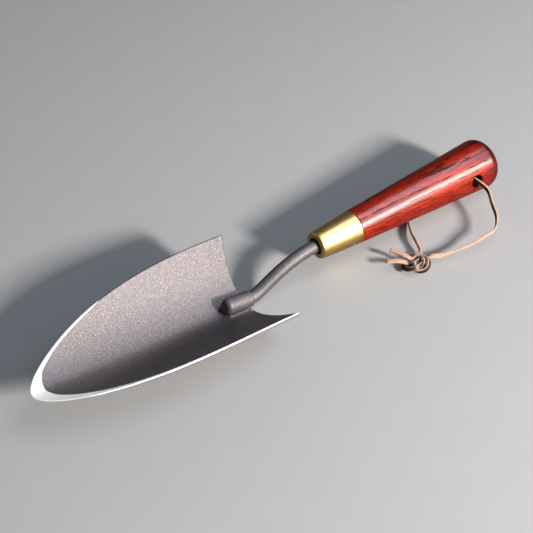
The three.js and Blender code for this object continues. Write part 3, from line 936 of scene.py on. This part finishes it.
def faced(points, start, end):
    """Points with a facing angle that turns evenly from start to end."""
    return [(*p, angle) for p, angle in zip(points, np.linspace(start, end, len(points)))]


def lace_controls():
    """The lace's places with the way its dark grain side faces: 0 is left of the way along, 90 is up."""
    middle = smooth_path(KNOT_PATH, 1.2)[0]
    left = unit(np.cross((0, 0, 1), tangents(middle)))
    outer = middle + left * STRAND_GAP - (0, 0, STRAND_STEP)
    inner = middle - left * STRAND_GAP + (0, 0, STRAND_STEP)
    lean = np.interp(np.linspace(0, 1, len(middle)), *zip(*KNOT_LEAN))
    controls = faced(NEAR_TAIL[::-1], 270, 270)
    controls += [(*p, 180 - turn) for p, turn in zip(outer[::-1], lean[::-1])][1:]
    controls += faced(NEAR_LEG[:2], 250, 340) + faced(NEAR_LEG[2:], 388, 360)
    controls += faced(FAR_LEG, 360, 360)
    controls += [(*p, 360 + turn) for p, turn in zip(inner, lean)][:-1]
    return controls + faced(FAR_TAIL, 270, 270)


def lace_section():
    """Outline of the flat strip with rounded corners, starting at the grain side's right corner."""
    half_wide, half_thick = LACE_WIDTH / 2, LACE_THICKNESS / 2
    section = []
    for cx, cy, turn in ((1, 1, 0), (-1, 1, 90), (-1, -1, 180), (1, -1, 270)):
        for extra in (0, 45, 90):
            a = math.radians(turn + extra)
            section.append((
                cx * (half_wide - LACE_CORNER) + LACE_CORNER * math.cos(a),
                cy * (half_thick - LACE_CORNER) + LACE_CORNER * math.sin(a),
            ))
    upper = [(half_wide * s, half_thick) for s in (0.4, -0.4)]
    lower = [(half_wide * s, -half_thick) for s in (-0.4, 0.4)]
    return section[:3] + upper + section[3:9] + lower + section[9:]


def build_lace(edge, grain):
    sampled, run = smooth_path(lace_controls(), 0.7)
    path, facing = sampled[:, :3], np.radians(sampled[:, 3])
    forward = tangents(path)
    sideways = unit(np.cross((0, 0, 1), forward))
    up = np.cross(forward, sideways)
    face = np.cos(facing)[:, None] * sideways + np.sin(facing)[:, None] * up
    wide = np.cross(forward, face)

    section = lace_section()
    size = len(section)
    rings = []
    for centre, w, n in zip(path, wide, face):
        ring = [centre + w * a + n * b for a, b in section]
        wobble = 0.05 * noise.noise(Vector(centre) * 0.35)
        rings.append([p + (p - centre) * wobble for p in ring])
    points = np.concatenate(rings)
    faces = ring_faces(len(rings), size)
    # The grain side is the three faces between the section's third and sixth points.
    slots = [1 if 2 <= j <= 4 else 0 for j in range(size)] * (len(rings) - 1)
    faces.append(tuple(reversed(range(size))))
    faces.append(tuple(range((len(rings) - 1) * size, len(rings) * size)))
    slots += [0, 0]
    around = np.cumsum([0] + [math.dist(a, b) for a, b in zip(section, section[1:])])
    values = {"run": np.repeat(run, size), "round": np.tile(around, len(rings))}
    return make_piece("leather_lace", points, faces, [edge, grain], slots, values)


# ---- The object ----

coat = powder_coat("powder_coat_steel")
coat_ground = powder_coat("powder_coat_with_ground_edge", ground=True)
brass = ferrule_brass("satin_brass")

put(build_blade(coat_ground), "trowel", "powder_coat", "blade")
put(build_boss(coat), "trowel", "powder_coat", "neck_socket", "socket_weld_near", "socket_weld_far")
put(build_neck(coat), "trowel", "powder_coat", "neck")
put(build_ferrule(brass), "trowel", "brass", "ferrule")
put(build_pin(brass), "trowel", "brass", "ferrule_pin")
put(build_handle(lacquered_wood("lacquered_red_wood")), "trowel", "lacquered_wood", "handle")
put(build_resin(tang_resin("dark_resin")), "trowel", "resin", "tang_bedding")
lace = build_lace(leather("leather_flesh_side", False), leather("leather_grain_side", True))
put(lace, "thong", "thong_leather", "thong_loop", "thong_knot")


# ---- Floor, lights and camera ----

FLOOR_TILT = math.radians(0.5)
FLOOR_UNDER_BUTT = 16.05
WORLD_STRENGTH = 0.11
WORLD_IN_REFLECTIONS = 0.035
WORLD_IN_VIEW = 0.5


def view_direction(azimuth, elevation):
    """Unit vector from the object towards a viewer."""
    a, e = math.radians(azimuth), math.radians(elevation)
    return Vector((math.sin(a) * math.cos(e), -math.cos(a) * math.cos(e), math.sin(e)))


def build_floor():
    """A pale floor that glossy surfaces see as a darker one, so that their undersides keep their colour."""
    m = Nodes("pale_floor")
    grain = m.noise(m.place(), 60, 3.0)
    colour = m.mix(grain, (0.43, 0.435, 0.44), (0.46, 0.46, 0.46))
    reflected = m.add("ShaderNodeLightPath").outputs["Is Glossy Ray"]
    m.set(Base_Color=m.mix(reflected, colour, (0.12, 0.12, 0.125)), Roughness=0.9)
    reach = 3.0
    drop = math.tan(FLOOR_TILT) * reach
    base = -FLOOR_UNDER_BUTT * MM
    corners = [
        (x * reach, y * reach, base - x * drop) for x, y in ((-1, -1), (1, -1), (1, 1), (-1, 1))
    ]
    mesh = bpy.data.meshes.new("floor")
    mesh.from_pydata(corners, [], [(0, 1, 2, 3)])
    mesh.materials.append(m.material)
    floor = bpy.data.objects.new("floor", mesh)
    bpy.context.scene.collection.objects.link(floor)


def aim(thing, target, roll=0.0):
    """Turns a light or camera towards a target, with its top up, then rolls it."""
    back = (thing.location - target).normalized()
    right = Vector((0, 0, 1)).cross(back).normalized()
    up = back.cross(right)
    turned_right = math.cos(roll) * right + math.sin(roll) * up
    turned_up = -math.sin(roll) * right + math.cos(roll) * up
    thing.rotation_euler = Matrix((turned_right, turned_up, back)).transposed().to_euler()


def add_light(name, direction, distance, size, power, colour, only_reflected=False):
    light = bpy.data.lights.new(name, "AREA")
    light.shape = "RECTANGLE"
    light.size, light.size_y = size
    light.energy = power
    light.color = colour
    thing = bpy.data.objects.new(name, light)
    bpy.context.scene.collection.objects.link(thing)
    centre = Vector((0.16, 0.0, 0.0))
    thing.location = centre + Vector(direction).normalized() * distance
    thing.visible_diffuse = not only_reflected
    aim(thing, centre)


def build_world():
    world = bpy.data.worlds.new("studio")
    bpy.context.scene.world = world
    world.use_nodes = True
    nodes, links = world.node_tree.nodes, world.node_tree.links
    background = nodes["Background"]
    background.inputs["Color"].default_value = (0.80, 0.86, 0.95, 1)
    path = nodes.new("ShaderNodeLightPath")
    strength = WORLD_STRENGTH
    for ray, other in (("Is Glossy Ray", WORLD_IN_REFLECTIONS), ("Is Camera Ray", WORLD_IN_VIEW)):
        choice = nodes.new("ShaderNodeMix")
        if isinstance(strength, float):
            choice.inputs["A"].default_value = strength
        else:
            links.new(strength, choice.inputs["A"])
        choice.inputs["B"].default_value = other
        links.new(path.outputs[ray], choice.inputs["Factor"])
        strength = choice.outputs["Result"]
    links.new(strength, background.inputs["Strength"])


def build_camera():
    camera = bpy.data.cameras.new("camera")
    camera.lens = 69.75
    camera.sensor_width = 36
    thing = bpy.data.objects.new("camera", camera)
    bpy.context.scene.collection.objects.link(thing)
    target = Vector((0.1695, -0.0049, -0.002))
    thing.location = target + 0.5906 * view_direction(144.2, 43.1)
    aim(thing, target, math.radians(-0.7))
    bpy.context.scene.camera = thing


build_floor()
build_world()
add_light("key", (-0.269, 0.871, 0.43), 1.4, (0.2, 0.2), 36, (1.0, 0.95, 0.90))
add_light("sky_panel", (-0.42, 0.22, 0.85), 1.3, (1.0, 0.8), 5, (0.80, 0.90, 1.0))
add_light("sky_reflection", (-0.42, 0.20, 0.85), 1.3, (1.0, 0.6), 8, (0.72, 0.82, 1.0), only_reflected=True)
add_light("streak_panel", (-0.79, 1.10, 0.75), 1.55, (0.5, 0.3), 20, (1.0, 0.97, 0.95), only_reflected=True)
add_light("fill_panel", (0.35, -0.85, 0.40), 1.6, (1.4, 1.0), 1.6, (0.72, 0.84, 1.0))
build_camera()
bpy.context.scene.view_settings.view_transform = "Standard"
